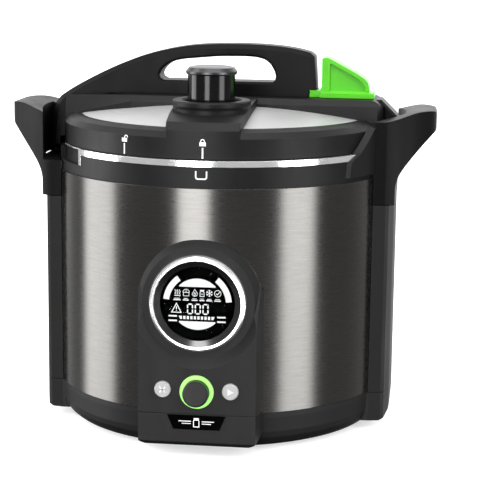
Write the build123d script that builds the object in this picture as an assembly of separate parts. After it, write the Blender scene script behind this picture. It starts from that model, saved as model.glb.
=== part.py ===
from build123d import *
import os, math

os.makedirs("parts", exist_ok=True)

# ----------------------------------------------------------------------------
# Electric pressure canner, millimetres, +Z up.
# Origin: on the resting plane, on the vertical axis of the round body.
# The control panel faces -Y, the side handles stand along +X and -X.
# ----------------------------------------------------------------------------

# round body
R_SHELL, T_SHELL = 170.0, 0.8          # brushed outer shell
Z_BASE0, Z_BASE1 = 3.0, 40.0           # base ring
Z_FOOT = 9.4                           # lower end of the side columns' feet
Z_SHELL0, Z_SHELL1 = 40.3, 257.7
R_COLLAR, Z_COLLAR1, Z_BAND1 = 168.0, 278.0, 283.8
R_BAND = 168.35
# lid
Z_LID0, Z_LIDEDGE = 284.4, 303.8
R_LID = 163.2                          # outer radius of the lid's rim
R_INS = 149.4                          # outer radius of the steel insert
R_WIN = 146.0                          # edge of the steel window
DOME_H, DOME_K = 324.3, 1622.0         # dome top: z = DOME_H - r*r/DOME_K
Z_BAR = 330.7                          # top of the bridge across the lid
BAR_W = 39.5                           # half width of the bridge
HANDLE_W = 16.0                        # half width of the lid handle
# lid turn
TURN_DEG = 28.6
# vessel
R_HOUS = 147.0                         # inner radius of the heating vessel
R_POT, T_POT = 139.0, 1.5
Z_POT0, Z_POT1 = 62.4, 262.1
# side handles
TIP_X = 217.0
Z_SEAM = 230.0
# control panel
Y_PANEL, Y_HEAD = -186.0, -181.0
Z_DISP, Z_KNOB, Z_BTN, X_BTN = 151.1, 66.2, 68.0, 32.3
Z_PSEAM = 44.4
# regulator
Y_REG = -100.0


def save(name, shape):
    s = shape
    sol = s.solids()
    if len(sol) == 1:
        s = sol[0]
    export_step(s, f"parts/{name}.step")


def ring(ro, ri, z0, z1):
    return Pos(0, 0, z0) * extrude(Circle(ro) - Circle(ri), z1 - z0)


def cyl(r, z0, z1, x=0.0, y=0.0):
    return Pos(x, y, z0) * extrude(Circle(r), z1 - z0)


def ycyl(r, y0, y1, x=0.0, z=0.0):
    """Cylinder along Y from y0 to y1 (y1 > y0)."""
    return Pos(x, y0, z) * Rot(-90, 0, 0) * extrude(Circle(r), y1 - y0)


def ycone(r0, r1, y0, y1, x=0.0, z=0.0):
    """Frustum along Y: radius r0 at y0, r1 at y1 (y1 > y0)."""
    pts = [(0, y0), (r0, y0), (r1, y1), (0, y1)]
    f = make_face(Polyline(*[(px, py, 0) for px, py in pts], close=True))
    return Pos(x, 0, z) * revolve(f, Axis.Y, 360)


def box(x0, x1, y0, y1, z0, z1):
    return Pos((x0 + x1) / 2, (y0 + y1) / 2, (z0 + z1) / 2) * Box(x1 - x0, y1 - y0, z1 - z0)


def rev(pts):
    f = make_face(Polyline(*[(r, 0, z) for r, z in pts], close=True))
    return revolve(f, Axis.Z, 360)


def xz(pts, y0, y1):
    f = make_face(Polyline(*[(x, y0, z) for x, z in pts], close=True))
    return extrude(f, y1 - y0, dir=(0, 1, 0))


def xy(pts, z0, z1):
    f = make_face(Polyline(*[(x, y, z0) for x, y in pts], close=True))
    return extrude(f, z1 - z0, dir=(0, 0, 1))


def yz(pts, x0, x1):
    f = make_face(Polyline(*[(x0, y, z) for y, z in pts], close=True))
    return extrude(f, x1 - x0, dir=(1, 0, 0))


def azp(r, az):
    """Point at radius r, az degrees from -Y towards +X."""
    a = math.radians(az)
    return (r * math.sin(a), -r * math.cos(a))


def sector(az0, az1, z0, z1, r=400.0):
    """Wedge-shaped prism between two azimuths (from -Y towards +X)."""
    n = max(2, int(abs(az1 - az0) / 20) + 2)
    pts = [(0, 0)] + [azp(r, az0 + (az1 - az0) * i / (n - 1)) for i in range(n)]
    return xy(pts, z0, z1)


def both(shape):
    """The shape and its half-turn copy about Z."""
    return shape + Rot(0, 0, 180) * shape


# ============================ BASE =========================================
# plan of a side column (right-hand one), outside the round body
COL_PLAN = [(150, -65.6), (157.5, -65.6), (169.5, -63.2), (172.6, -61.4),
            (177.2, -44), (178.0, -34), (178.0, 34), (177.2, 44),
            (172.6, 61.4), (169.5, 63.2), (157.5, 65.6), (150, 65.6)]

base_body = rev([(169.5, Z_BASE1), (169.5, 35), (168.2, 20.5), (166.6, 14.6), (162.6, 9.0), (157.6, 4.9), (152.6, Z_BASE0), (150, Z_BASE0),
                 (150, 6.5), (156.5, 6.5), (162, 11), (164, 15), (166, 35.5), (166, Z_BASE1)])
foot_block = xy(COL_PLAN, Z_FOOT, 38.6) - cyl(161.5, 0, 60)
foot_block = foot_block - xz([(166, 0), (185, 0), (185, 24), (178.4, 24), (177.2, 17.0), (173.2, 11.8), (168, Z_FOOT)], -80, 80)
base_ring = base_body + both(foot_block)
base_ring = base_ring - box(-19.2, 19.2, 140, 190, 8.8, 37.2)
# recess behind the panel's lower cover for the wiring
base_ring = base_ring - box(-30, 30, -180, -155, 14, 34)
save("base_ring", base_ring)

bottom_plate = cyl(155.8, 6.6, 8.2)
for i in range(3):
    a = 30 + i * 120
    x, y = 100 * math.cos(math.radians(a)), 100 * math.sin(math.radians(a))
    bottom_plate = bottom_plate - cyl(2.3, 6, 9, x, y)
for i in range(-4, 5):
    bottom_plate = bottom_plate - box(-28 if abs(i) > 1 else -34, 28 if abs(i) > 1 else 34, i * 9 - 2, i * 9 + 2, 6, 9)
save("bottom_plate", bottom_plate)

# one anti-slip ring under the bottom plate carries the weight
foot_ring = rev([(127.2, 0), (132.4, 0), (133.4, 1.0), (133.4, 6.58), (126.2, 6.58), (126.2, 1.0)])
save("foot_ring", foot_ring)

standoffs, base_screws = None, None
for i in range(3):
    a = math.radians(30 + i * 120)
    x, y = 100 * math.cos(a), 100 * math.sin(a)
    s = cyl(5.5, 8.3, 46.9, x, y) - cyl(2.1, 8, 24, x, y)
    b = cyl(4.0, 4.2, 6.5, x, y) + cyl(2.0, 6.4, 20, x, y)
    b = b - box(x - 3, x + 3, y - 0.5, y + 0.5, 4, 5.2) - box(x - 0.5, x + 0.5, y - 3, y + 3, 4, 5.2)
    standoffs = s if standoffs is None else standoffs + s
    base_screws = b if base_screws is None else base_screws + b
save("standoffs", standoffs)
save("base_screws", base_screws)

# outer steel shell with the cut-out behind the control panel
steel_shell = ring(R_SHELL, R_SHELL - T_SHELL, Z_SHELL0, Z_SHELL1)
steel_shell = steel_shell - box(-46, 46, -180, -140, 52, 118) - ycyl(44, -185, -140, 0, Z_DISP)
save("steel_shell", steel_shell)

# side columns
column = xy(COL_PLAN, 39.2, Z_SEAM - 0.2) - cyl(R_SHELL + 0.1, 0, 400)
save("right_column", column)
save("left_column", Rot(0, 0, 180) * column)

# upper collar: rebate for the bright band, guards beside the side handles, mark
collar = rev([(169.1, 246), (169.1, 257.8), (R_COLLAR, 257.8), (R_COLLAR, Z_COLLAR1), (163.4, Z_COLLAR1),
              (163.4, Z_BAND1), (150, Z_BAND1), (150, 277.3), (161, 277.3), (161, 246)])
guard_yz = [(-104.5, 262), (-103.2, 275), (-101.5, 278.3), (-91.2, 284.6), (-68.0, 306.6), (-66.0, 307.6), (-66.0, 262)]
guard_zone = yz(guard_yz, 60, 200)
guard_up = ring(171.3, 164.4, 262, 308) & guard_zone
guard_lo = ring(171.3, 162, 262, Z_BAND1) & guard_zone
collar = collar + both(guard_up + guard_lo)
# low shelf beside the left handle, where the lid's hook comes down
notch = (ring(169.5, 163.6, 268, 285) & sector(-74, -50.7, 260, 290)) & box(-200, 0, -200, -10, 260, 290)
collar = collar - both(notch)
leg_cut = ring(169.5, 165, 268, 280) & sector(-50.7, -48.9, 260, 290)
collar = collar - both(leg_cut)
# thickening behind the notch keeps the collar's wall in one piece
collar = collar + ring(163.4, 158, 262, Z_BAND1)
mark_z0, mark_z1 = 266.2, 274.6
save("upper_collar", collar)

# bright trim band on the collar, front and rear arcs, each with a short leg
band = (ring(R_BAND, 163.5, Z_COLLAR1 + 0.1, Z_BAND1) & sector(-50.5, 56.9, 270, 290))
band = band + (ring(165.6, 163.65, Z_BAND1 - 1.1, Z_BAND1) & sector(-68.0, -50.3, 270, 290))
band = band - (ring(175, 160, 270, 290) & yz([(-91.2, 284.6), (-101.5, 278.3), (-104, 276), (-40, 270), (-40, 290)], 60, 200))
band_leg = ring(R_BAND, 165.1, 268.1, 280) & sector(-50.5, -49.1, 260, 290)
save("collar_trim", both(band + band_leg))

# side handles: outer flare in XZ, plan in XY, channel for the lid's hook
def smooth(points, y=None, z=None):
    if y is not None:
        return Spline(*[(a, y, b) for a, b in points])
    return Spline(*[(a, b, z) for a, b in points])


def run(points, y=None, z=None):
    put = (lambda a, b: (a, y, b)) if y is not None else (lambda a, b: (a, b, z))
    return [Line(put(*points[i]), put(*points[i + 1])) for i in range(len(points) - 1)]


under = [(178.0, 246.0), (180.2, 256.0), (184.6, 264.2), (190.0, 271.6), (197.0, 280.2), (206.0, 290.4), (216.4, 301.0)]
crown = [(214.6, 320.7), (206.0, 321.4), (198.0, 320.6), (186.0, 317.2), (176.0, 314.2), (166.0, 312.6)]
prof = [Line((150, 0, Z_SEAM + 0.2), (178.0, 0, Z_SEAM + 0.2)), Line((178.0, 0, Z_SEAM + 0.2), (178.0, 0, 246.0)), smooth(under, y=0)]
prof += run([(216.4, 301.0), (TIP_X, 303.0), (TIP_X, 317.2), (216.0, 319.8), (214.6, 320.7)], y=0) + [smooth(crown, y=0)]
prof += run([(166.0, 312.6), (150, 312.6), (150, Z_SEAM + 0.2)], y=0)
handle_xz = extrude(make_face(prof), 80, dir=(0, 1, 0), both=True)
flank = [(168.5, 63.6), (173.0, 61.6), (184, 54.6), (197, 44.8), (208, 34.2), (214.4, 25.6), (TIP_X, 16.0)]
plan = run([(150, -65.6), (157.5, -65.6), (168.5, -63.6)], z=Z_SEAM) + [smooth([(a, -b) for a, b in flank], z=Z_SEAM)]
plan += [Line((TIP_X, -16.0, Z_SEAM), (TIP_X, 16.0, Z_SEAM)), smooth(flank[::-1], z=Z_SEAM)]
plan += run([(168.5, 63.6), (157.5, 65.6), (150, 65.6), (150, -65.6)], z=Z_SEAM)
handle_xy = extrude(make_face(plan), 100, dir=(0, 0, 1))
handle = handle_xz & handle_xy
handle = handle - cyl(R_SHELL + 0.1, 200, 258) - cyl(168.75, 257, 400)
channel = ring(186.2, 150, 266, 340) & box(140, 230, -20, 90, 260, 345)
handle = handle - channel
# the inner strip beside the collar's guard
handle = handle - (ring(171.5, 160, 257, 320) & box(140, 200, -120, -65.6, 250, 330))
save("right_handle", handle)
save("left_handle", Rot(0, 0, 180) * handle)

# screws that clamp each handle to its column (two a side)
hs = None
for sx in (1, -1):
    for y in (-30, 30):
        c = Pos(sx * 174.0, y, 0) * (cyl(1.6, 212, 246))
        hs = c if hs is None else hs + c
save("handle_screws", hs)
# bores for them
for nm, shp in (("right_column", column), ("right_handle", handle)):
    s = shp
    for y in (-30, 30):
        s = s - cyl(1.65, 211.5, 246.5, 174.0, y)
    save(nm, s)
    save(nm.replace("right", "left"), Rot(0, 0, 180) * s)

# heating vessel that holds the pot, with bayonet lugs round its mouth
vessel = rev([(22, 47), (148.5, 47), (148.5, 275.6), (158, 275.6), (158, 277.1), (R_HOUS, 277.1), (R_HOUS, 262),
              (141, 262), (141, 260.2), (R_HOUS, 260.2), (R_HOUS, 48.5), (22, 48.5)])
lugs = None
for i in range(6):
    l = ring(148.4, 145.0, 277.0, 280.6) & sector(-12 + 60 * i, 12 + 60 * i, 270, 290)
    lugs = l if lugs is None else lugs + l
vessel = vessel + lugs
for x in (-9, 9):
    vessel = vessel - cyl(4.2, 46, 50, x, -80)
save("heating_vessel", vessel)

heater_plate = ring(120, 14.2, 56.2, 62.0)
save("heater_plate", heater_plate)
elem = revolve(Pos(80, 0, 52.4) * Rot(90, 0, 0) * Circle(3.6), Axis.Z, 360)
elem = elem + cyl(2.4, 30, 51, -9, -80) + cyl(2.4, 30, 51, 9, -80)
save("heating_element", elem)

sensor = cyl(12.0, 57.0, 62.1) + cyl(5.0, 40.0, 57.2) + cyl(13.4, 53.6, 55.8)
sensor = sensor + cyl(12.0, 55.6, 57.2)
save("temperature_sensor", sensor)
sensor_bracket = ring(20.5, 5.4, 30.0, 32.0) + ring(20.5, 17.5, 30.0, 46.8)
sensor_bracket = sensor_bracket + ring(26.5, 17.5, 44.8, 46.8)
save("sensor_bracket", sensor_bracket)
helix = Pos(0, 0, 33.2) * Helix(pitch=3.9, height=19.0, radius=9.0)
coil = sweep((helix ^ 0) * Circle(0.7), path=helix)
save("sensor_spring", coil)

fuse = cyl(3.0, 120, 140, 0, 153.0) + cyl(1.0, 112, 148, 0, 153.0)
save("thermal_fuse", fuse)
clip = box(-6, 6, 148.7, 149.6, 117, 143) + box(-6, -3.3, 149.5, 154, 126, 134) + box(3.3, 6, 149.5, 154, 126, 134)
save("fuse_clip", clip)

# ------------------------- control panel ------------------------------------
slab_plan = [(-60.8, -150), (-60.4, -158), (-56.2, Y_PANEL), (56.2, Y_PANEL), (60.4, -158), (60.8, -150)]
slab = xy(slab_plan, Z_PSEAM, 163)
slab = slab - yz([(Y_PANEL - 5, 121), (Y_PANEL, 126.5), (Y_HEAD, 141), (-172, 163), (-172, 175), (Y_PANEL - 5, 175)], -80, 80)
head = ycyl(59.0, -169.5, -150, 0, Z_DISP) + ycone(53.5, 59.0, Y_HEAD, -169.4, 0, Z_DISP)
slab = slab - ycone(64.3, 53.5, Y_PANEL - 1.0, Y_HEAD, 0, Z_DISP)
panel = slab + head
panel = panel - cyl(R_SHELL + 0.2, 0, 300)
panel = panel - box(-52, 52, -183, -150, 48, 84) - box(-52, 52, -177, -150, 83, 112) - ycyl(49.5, -176.5, -150, 0, Z_DISP)
panel = panel - ycyl(40.2, -190, -170, 0, Z_DISP)
panel = panel - ycyl(16.5, -190, Y_PANEL + 1.6, 0, Z_KNOB) - ycyl(3.8, -190, -180, 0, Z_KNOB)
for sx in (-1, 1):
    panel = panel - ycyl(8.25, -190, -180, sx * X_BTN, Z_BTN)
save("panel_housing", panel)

lower = xy(slab_plan, 12.0, Z_PSEAM - 0.35) - cyl(R_SHELL + 0.2, 0, 300)
lower = lower - box(-52, 52, -183, -150, 15.5, 60)
# rounded lower corners
for sx in (-1, 1):
    q = box(44, 70, -200, -140, 0, 28) - ycyl(16, -200, -140, 45.5, 28)
    q = q & box(44, 70, -200, -140, 0, 28)
    lower = lower - (q if sx > 0 else mirror(q, Plane.YZ))
lower = lower - yz([(Y_PANEL - 1, 0), (Y_PANEL - 1, 16.5), (Y_PANEL, 16.5), (-182.5, 12.5), (-178, 11.9), (-178, 0)], -80, 80)
save("panel_lower_cover", lower)

badge = xz([(-28.2, 43.4), (28.2, 43.4), (22.0, 29.4), (-22.0, 29.4)], Y_PANEL - 0.8, Y_PANEL - 0.02)
save("badge_plate", badge)

bez_pts = [(46.2, Y_HEAD - 0.02), (46.2, -184.2), (45.2, -186.4), (43.4, -187.4), (41.6, -187.2), (35.6, -184.4), (35.6, -181.6), (39.8, -181.6),
           (39.8, -176.6), (40.1, -176.6), (40.1, Y_HEAD - 0.02)]
bf = make_face(Polyline(*[(r, y, 0) for r, y in bez_pts], close=True))
bezel = Pos(0, 0, Z_DISP) * revolve(bf, Axis.Y, 360)
save("display_bezel", bezel)
lens = ycyl(35.5, -184.2, -182.6, 0, Z_DISP) + ycyl(39.5, -181.5, -180.2, 0, Z_DISP) + ycyl(35.5, -182.7, -181.4, 0, Z_DISP)
save("display_lens", lens)
lcd = ycyl(37.5, -180.0, -176.2, 0, Z_DISP) + box(-39, 39, -176.4, -174.8, Z_DISP - 26, Z_DISP + 26)
save("lcd_module", lcd)

light_ring = ycyl(16.2, Y_PANEL - 0.6, Y_PANEL + 1.5, 0, Z_KNOB) - ycyl(11.9, -190, -180, 0, Z_KNOB)
save("knob_light_ring", light_ring)
knob = ycyl(12.4, -195.3, -187.0, 0, Z_KNOB)
knob = knob + ycone(11.0, 12.4, -196.6, -195.2, 0, Z_KNOB)
knob = knob - ycyl(3.05, -193.0, -180, 0, Z_KNOB)
save("selector_knob", knob)
encoder = box(-6.5, 6.5, -182.4, -174.2, Z_KNOB - 6.5, Z_KNOB + 6.5) + ycyl(3.7, -186.2, -182.2, 0, Z_KNOB) + ycyl(3.0, -192.6, -186, 0, Z_KNOB)
save("rotary_encoder", encoder)
for nm, sx in (("cancel_button", -1), ("start_button", 1)):
    b = ycyl(7.9, -188.2, -182.4, sx * X_BTN, Z_BTN) + ycone(7.2, 7.9, -188.9, -188.1, sx * X_BTN, Z_BTN)
    b = b + ycyl(9.6, -182.5, -181.2, sx * X_BTN, Z_BTN) + ycyl(2.5, -181.3, -180.2, sx * X_BTN, Z_BTN)
    save(nm, b)
sw = None
for sx in (-1, 1):
    s = box(sx * X_BTN - 3.1, sx * X_BTN + 3.1, -176.5, -173.9, Z_BTN - 3.1, Z_BTN + 3.1) + ycyl(1.7, -178.3, -176.4, sx * X_BTN, Z_BTN)
    sw = s if sw is None else sw + s
save("button_switches", sw)
board = box(-46, 46, -173.8, -172.2, 54, 104)
save("control_board", board)

# ------------------------- mains side ---------------------------------------
inlet = box(-19, 19, 150, 171.5, 9, 37) - box(-13, 13, 158, 175, 14.5, 31.5)
inlet = inlet - xz([(9.5, 31.5), (13, 31.5), (13, 28)], 158, 175) - xz([(-9.5, 31.5), (-13, 31.5), (-13, 28)], 158, 175)
save("power_inlet", inlet)
pins = None
for x, z in ((-7, 21), (7, 21), (0, 25)):
    p = box(x - 1, x + 1, 158.05, 169, z - 2, z + 2)
    pins = p if pins is None else pins + p
save("inlet_pins", pins)
pb = box(-48, 48, 66, 122, 12, 13.6)
pb = pb + box(-40, -14, 74, 98, 13.5, 32) + cyl(8, 13.5, 38, 8, 86) + cyl(8, 13.5, 38, 28, 86) + box(-38, -18, 104, 118, 13.5, 29) + box(0, 34, 104, 118, 13.5, 26)
for x in (-44, 44):
    for y in (70, 118):
        pb = pb + cyl(3.0, 8.3, 12.1, x, y)
save("power_board", pb)

# ============================ POT AND RACK ==================================
Ri = R_POT - T_POT
pot = rev([(0, Z_POT0), (129, Z_POT0), (135.5, 65.2), (R_POT, 72.5), (R_POT, Z_POT1), (145.6, Z_POT1), (145.6, 264.2), (143.8, 264.8),
           (139.6, 264.8), (Ri, 262.6), (Ri, 73.2), (134.2, 66.6), (128.4, 64.8), (0, 64.8)])
save("inner_pot", pot)

rack = cyl(131, 76.0, 77.5)
rack = rack + (ring(131, 129.2, 73.5, 77.4))
holes = cyl(14, 75, 79)
for rr, n, hr in ((38, 8, 6), (68, 14, 7), (98, 18, 8), (118, 30, 4)):
    for i in range(n):
        a = 2 * math.pi * (i + 0.5) / n
        holes = holes + cyl(hr, 75, 79, rr * math.cos(a), rr * math.sin(a))
rack = rack - holes
for i in range(3):
    a = 2 * math.pi * i / 3 + 0.5
    x, y = 84 * math.cos(a), 84 * math.sin(a)
    rack = rack + (cyl(4.0, 65.2, 76.2, x, y))
save("canning_rack", rack)

# ============================ LID ===========================================
seal = rev([(136.6, 265.2), (144.6, 265.2), (144.6, 272.2), (141.6, 272.2), (141.6, 268.6), (138.6, 268.6), (138.6, 272.2), (136.6, 272.2)])
save("sealing_ring", seal)

lp = rev([(0, 303), (60, 301), (108, 293.6), (128, 284.5), (134, 276.6), (142.2, 276.6), (142.2, 272.5), (131.4, 272.5), (125.6, 281.6),
          (107, 290.4), (59.6, 297.6), (0, 299.6)])
for i in range(6):
    lp = lp + (ring(144.4, 142.0, 272.5, 276.6) & sector(-10 + 60 * i, 10 + 60 * i, 265, 290))
BOLTS = ((-70.0, 0.0), (70.0, 0.0))
X_VALVE = 116.0
for bx, by in BOLTS:
    lp = lp + cyl(7.6, 294.9, 300.85, bx, by)
lp = lp + cyl(9.4, 285.5, 294.0, X_VALVE, 0)
for bx, by in BOLTS:
    lp = lp - cyl(2.7, 280, 310, bx, by)
lp = lp - cyl(4.05, 280, 310, 0, Y_REG) - cyl(3.25, 280, 310, -45, 88) - cyl(4.6, 280, 310, 45, 88) - cyl(5.05, 270, 310, X_VALVE, 0)
save("lid_plate", lp)


def dome(r, dz=0.0):
    return DOME_H - DOME_K / 2 + math.sqrt((DOME_K / 2) ** 2 - r * r) + dz


R_SPH = DOME_K / 2
ball = Pos(0, 0, DOME_H - R_SPH) * Sphere(R_SPH)
ball_in = Pos(0, 0, DOME_H - R_SPH) * Sphere(R_SPH - 1.3)
dome_fill = cyl(R_INS, 250, 330) & ball
insert = (cyl(R_INS, 290, 330) & ball) - ball_in
insert = insert - cyl(12, 300, 340, 0, Y_REG) - cyl(3.4, 300, 340, -45, 88) - cyl(10, 300, 340, 45, 88) - box(102, 130, -4.5, 4.5, 300, 340)
for bx, by in BOLTS:
    insert = insert - cyl(7.4, 300, 340, bx, by)
save("lid_dome", insert)

# lid handle: one long arch with the grip opening and the left-hand hook
out_pts = [(-168.6, 326.6), (-158.5, 333.4), (-133.3, 347.6), (-108.3, 359.6), (-83.5, 369.2), (-58.6, 376.0), (-34.0, 380.4), (-1.0, 382.6),
           (24.0, 382.8), (56.4, 381.2), (73.0, 379.0), (88.2, 375.4)]
arc_out = Spline(*[(x, 0, z) for x, z in out_pts])
a0, a1 = out_pts[0], out_pts[-1]
edge = [arc_out,
        Line((a1[0], 0, a1[1]), (92.6, 0, 371.6)), Line((92.6, 0, 371.6), (94.9, 0, 342.0)), Line((94.9, 0, 342.0), (95.3, 0, Z_BAR + 0.1)),
        Line((95.3, 0, Z_BAR + 0.1), (-118, 0, Z_BAR + 0.1)), Line((-118, 0, Z_BAR + 0.1), (-148, 0, 320.0)),
        Line((-148, 0, 320.0), (-154.0, 0, 306.0)), Line((-154.0, 0, 306.0), (-163.9, 0, 301.0)),
        Line((-163.9, 0, 301.0), (-163.9, 0, 285.6)), Line((-163.9, 0, 285.6), (-169.2, 0, 285.0)), Line((-169.2, 0, 285.0), (-169.0, 0, 272.6)), Line((-169.0, 0, 272.6), (-180.0, 0, 272.6)), Line((-180.0, 0, 272.6), (-174.0, 0, 319.6)),
        Line((-174.0, 0, 319.6), (a0[0], 0, a0[1]))]
hf = make_face(edge)
arch = extrude(hf, HANDLE_W, dir=(0, 1, 0), both=True)
arch_seat = extrude(hf, HANDLE_W + 0.02, dir=(0, 1, 0), both=True)
hole_top = Spline((-65.4, 0, 350.6), (-63.0, 0, 355.4), (-58.6, 0, 360.0), (-51.5, 0, 363.9), (-29.0, 0, 367.9), (-5.0, 0, 370.0), (19.0, 0, 370.5), (34.5, 0, 369.7),
                  (44.6, 0, 366.2), (50.6, 0, 359.2), (53.4, 0, 351.4))
hole_e = [hole_top, Line((53.4, 0, 351.4), (52.8, 0, 347.6)), Line((52.8, 0, 347.6), (50.4, 0, 345.2)), Line((50.4, 0, 345.2), (-60.5, 0, 345.2)),
          Line((-60.5, 0, 345.2), (-64.6, 0, 347.4)), Line((-64.6, 0, 347.4), (-65.4, 0, 350.6))]
grip = extrude(make_face(hole_e), 40, dir=(0, 1, 0), both=True)
arch = arch - grip
# chamfer the long outer edges of the arch and round the rim of the grip opening
top_edges = arch.edges().filter_by(lambda e: abs(abs(e.center().Y) - HANDLE_W) < 0.01 and ((e.length > 150 and e.center().Z > 340) or e.center().X < -169.9))
try:
    arch_c = chamfer(top_edges, 4.2)
    arch = arch_c
except Exception as ex:
    print("arch chamfer skipped", ex)
rim = arch.edges().filter_by(lambda e: abs(abs(e.center().Y) - HANDLE_W) < 0.01 and -68 < e.center().X < 54 and 342 < e.center().Z < 371.5)
try:
    arch = fillet(rim, 2.6)
except Exception as ex:
    print("grip fillet skipped", ex)
leg_in = cyl(168.8, 260, 285.3)
leg_up = cyl(163.75, 280, 301.4)
arch = arch - leg_in - leg_up
for bx, by in BOLTS:
    arch = arch - cyl(2.65, 325, 341.0, bx, by)
lid_handle = arch
save("lid_handle", lid_handle)

# plastic lid cover: outer ring, bridge, pedestal, right-hand hook
lring = rev([(R_LID, Z_LID0), (R_LID, Z_LIDEDGE), (157.6, 309.2), (151.6, 311.6), (R_WIN, 311.9), (R_WIN, dome(R_WIN, 0.06)), (R_INS + 0.2, dome(R_INS, 0.06)),
             (R_INS + 0.2, 308.9), (143.0, 308.9), (143.0, 307.3), (151.8, 305.6), (159.6, 301.0), (159.6, Z_LID0)])
cap_r = 11.0
bar_xz = [(-164, 305.5), (-164, 322), (-150, Z_BAR), (162 - cap_r, Z_BAR)]
for i in range(1, 9):
    a = math.pi / 2 * (1 - i / 8)
    bar_xz.append((162 - cap_r + cap_r * math.cos(a), Z_BAR - cap_r + cap_r * math.sin(a)))
bar_xz += [(162, 305.5)]
bar = xz(bar_xz, -BAR_W, BAR_W)
cut_f = yz([(-BAR_W - 1, Z_BAR + 1), (-BAR_W + 5.6, Z_BAR + 1), (-BAR_W + 5.6, Z_BAR), (-BAR_W, Z_BAR - 5.6), (-BAR_W - 1, Z_BAR - 5.6)], -170, 170)
bar = bar - cut_f - mirror(cut_f, Plane.XZ)
bar = bar & cyl(R_LID, 290, 340)
X_SH = -90.0
sh0 = make_face(Polyline((X_SH, -BAR_W, 305.5), (X_SH, -BAR_W, Z_BAR - 5.6), (X_SH, -BAR_W + 5.6, Z_BAR), (X_SH, BAR_W - 5.6, Z_BAR), (X_SH, BAR_W, Z_BAR - 5.6), (X_SH, BAR_W, 305.5), close=True))
sh1 = make_face(Polyline((-161.5, -25.5, 305.5), (-161.5, -24.8, 309), (-161.5, -17.4, 328.4), (-161.5, 17.4, 328.4), (-161.5, 24.8, 309), (-161.5, 25.5, 305.5), close=True))
shoulder = loft([sh0, sh1])
bar = (bar & box(X_SH, 200, -60, 60, 290, 345)) + shoulder
bar = bar & cyl(R_LID, 290, 345)
ped_xy = [(-34.6, -172), (34.6, -172), (36.6, -120), (37.6, -60), (37.6, -30), (-37.6, -30), (-37.6, -60), (-36.6, -120)]
ped = xy(ped_xy, 295, 340) & rev([(0, 296), (R_LID, 296), (R_LID, 311.4), (156.4, 318.4), (136, 323.4), (100, 327.8), (60, 330.0), (0, Z_BAR)])
dish = Pos(0, Y_REG, 0) * rev([(0, 318), (36.8, 318), (37.2, 327), (38.2, 330), (38.4, 333.4), (37.2, 334.7), (0, 334.7)])
lug_r = xz([(150, 306), (152, Z_BAR - 0.6), (158.5, Z_BAR - 0.8), (160.8, 330.2), (179.6, 311.8), (180.4, 309.6), (180.0, 272.6), (169.0, 272.6), (169.0, 285.4), (160.4, 285.4)], -HANDLE_W, HANDLE_W)
lug_r = lug_r - cyl(168.8, 260, 285.2)
# open pockets between the ribs of the right-hand hook
for s in (-1, 1):
    pk = xz([(162.8, 324.4), (162.8, 309.5), (172.5, 309.5), (176.2, 311.4)], -13.6, -2.2)
    lug_r = lug_r - (pk if s < 0 else mirror(pk, Plane.XZ))
lug_r = lug_r - xz([(162.8, 324.4), (162.8, 309.5), (172.5, 309.5), (176.2, 311.4)], -18, -13.6)
lug_r = lug_r - xz([(162.8, 324.4), (162.8, 309.5), (172.5, 309.5), (176.2, 311.4)], 13.6, 18)
cover = (bar + ped + dish) - dome_fill - (Pos(0, 0, 0) * cyl(150, 250, 300))
cover = cover + lring + lug_r
cover = cover - dome_fill
posts = None
for bx, by in BOLTS:
    p = cyl(7.0, 300.9, 326, bx, by)
    posts = p if posts is None else posts + p
cover = cover + posts
for bx, by in BOLTS:
    cover = cover - cyl(2.65, 290, 340, bx, by)
cover = cover - (Pos(0, Y_REG, 0) * rev([(0, 325.2), (28.3, 325.2), (28.3, 332.9), (30.4, 335.0), (30.4, 338), (0, 338)])) - cyl(10.0, 300, 330, 0, Y_REG)
cover = cover - box(102.5, 129.5, -4.2, 4.2, 300, 340)
cover = cover - arch_seat
save("lid_cover", cover)

bolts = None
for bx, by in BOLTS:
    b = cyl(2.5, 294.0, 340.0, bx, by) + cyl(5.2, 291.2, 294.88, bx, by)
    bolts = b if bolts is None else bolts + b
save("lid_bolts", bolts)

# vent pipe, its nut, and the weighted regulator over it
vp = cyl(4.0, 286, 349.0, 0, Y_REG) + cyl(7.0, 297.2, 301.2, 0, Y_REG) - cyl(1.7, 280, 355, 0, Y_REG)
save("vent_pipe", vp)
vn = Pos(0, Y_REG, 287.2) * extrude(RegularPolygon(7.2, 6), 3.2) - cyl(4.02, 280, 295, 0, Y_REG)
save("vent_nut", vn)
reg = Pos(0, Y_REG, 0) * rev([(4.4, 326.6), (20.6, 326.6), (22.9, 328.4), (22.9, 361.6), (0, 361.6), (0, 349.4), (4.4, 349.4)])
save("pressure_regulator", reg)
rcap = Pos(0, Y_REG, 0) * rev([(22.95, 359.6), (23.8, 359.2), (24.7, 360.4), (24.7, 362.4), (22.0, 366.0), (18.0, 366.9), (0, 367.3), (0, 361.7), (22.95, 361.7)])
save("regulator_cap", rcap)

plug = Pos(45, 88, 0) * rev([(0, 286.4), (6.6, 286.4), (6.6, 289.2), (4.5, 290.0), (4.5, 297.2), (7.2, 298.2), (7.2, 303.0), (5.4, 305.0), (0, 305.0)])
save("overpressure_plug", plug)
flt = Pos(-45, 88, 0) * rev([(0, 283.2), (5.6, 283.2), (5.6, 285.0), (2.9, 285.6), (2.9, 317.2), (2.0, 318.2), (0, 318.2)])
save("cover_lock_pin", flt)

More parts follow.
